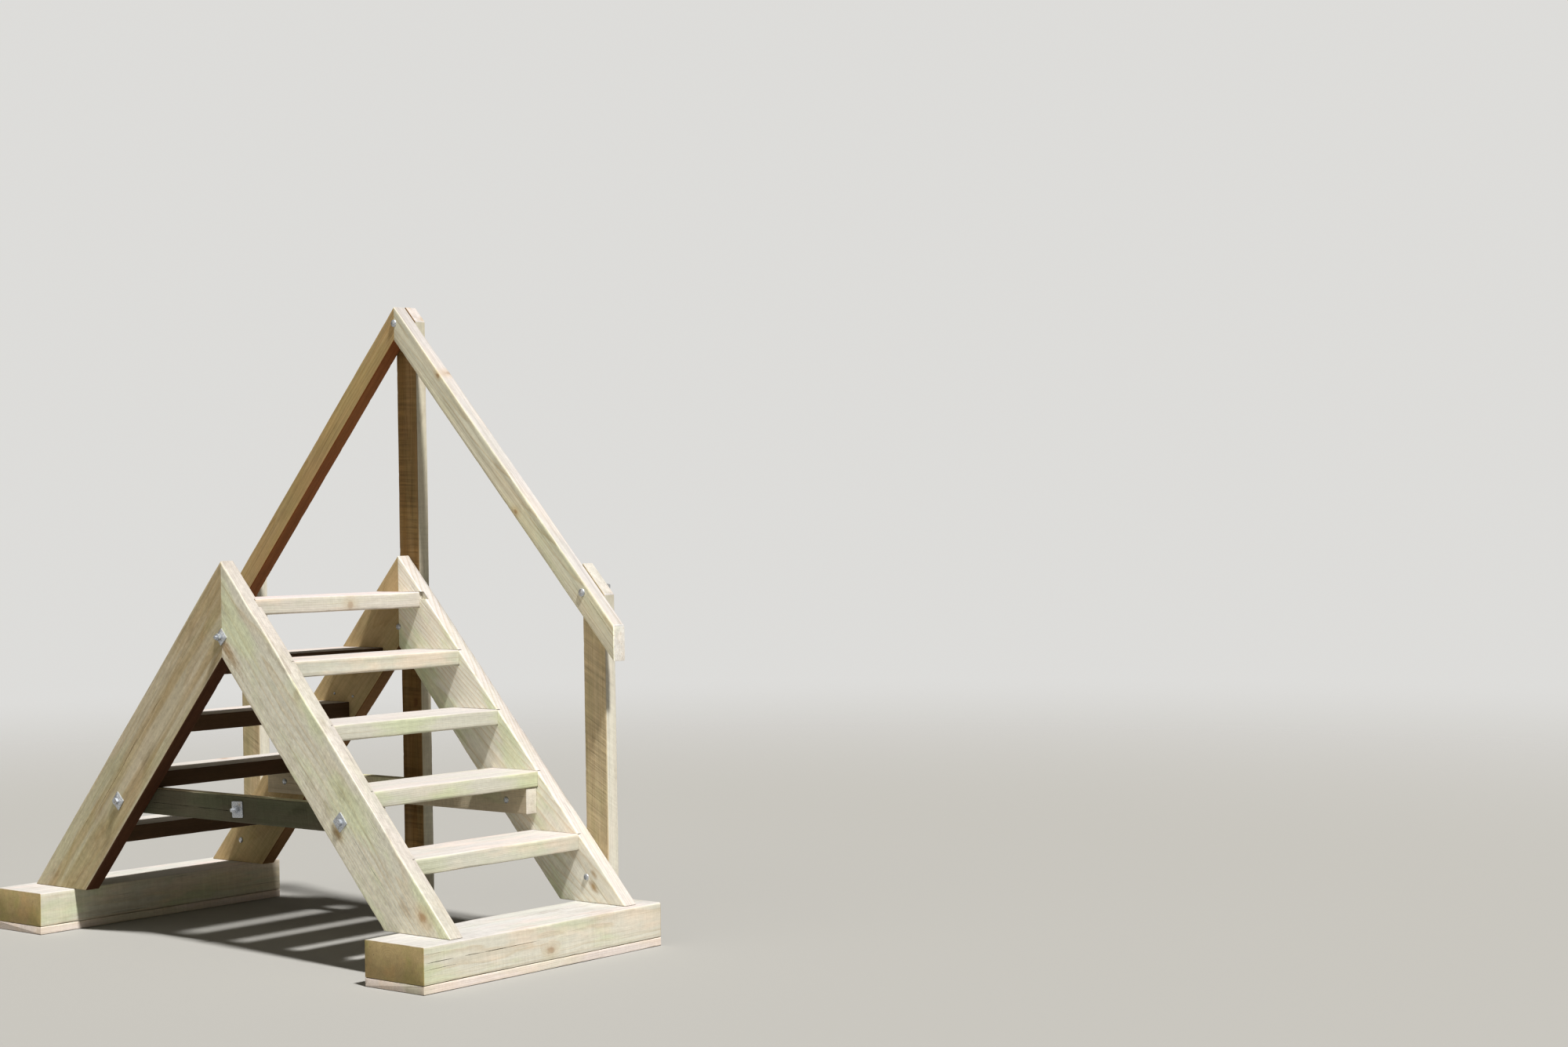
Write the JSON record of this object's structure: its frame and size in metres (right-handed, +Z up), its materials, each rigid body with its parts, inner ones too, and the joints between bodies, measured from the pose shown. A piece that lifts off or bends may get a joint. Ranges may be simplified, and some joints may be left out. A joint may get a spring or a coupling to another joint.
{
  "type": "wooden step stile",
  "caption": "A-frame timber step stile with housed plank treads, timber sills at each foot and a handrail on one side.",
  "frame": {"origin": "on the ground under the apex, midway along the sills", "axes": "+X along the walking line towards the front flight's foot, +Y towards the handrail side, +Z up"},
  "size_m": [2.01, 0.954, 1.975],
  "materials": {
    "stringer_timber": "rough-sawn treated pine",
    "tread_timber": "treated pine, lightly worn",
    "sill_timber": "rough-sawn treated pine",
    "tie_timber": "rough-sawn treated pine",
    "rail_timber": "treated pine, edges eased",
    "post_timber": "rough-sawn treated pine",
    "fastening_steel": "hot-dip galvanised bolts, nuts and washers"
  },
  "bodies": {
    "root": {"stringer_front_open_side": "stringer_timber", "stringer_back_open_side": "stringer_timber", "stringer_front_rail_side": "stringer_timber", "stringer_back_rail_side": "stringer_timber", "tread_front_1": "tread_timber", "tread_front_2": "tread_timber", "tread_front_3": "tread_timber", "tread_front_4": "tread_timber", "tread_top": "tread_timber", "tread_back_1": "tread_timber", "tread_back_2": "tread_timber", "tread_back_3": "tread_timber", "tread_back_4": "tread_timber", "sill_front": "sill_timber", "sill_back": "sill_timber", "sole_plank_front": "sill_timber", "sole_plank_back": "sill_timber", "tie_open_side": "tie_timber", "tie_rail_side": "tie_timber", "handrail_front": "rail_timber", "handrail_back": "rail_timber", "rail_post_front": "post_timber", "rail_post_centre": "post_timber", "rail_post_back": "post_timber"}
  },
  "joints": []
}
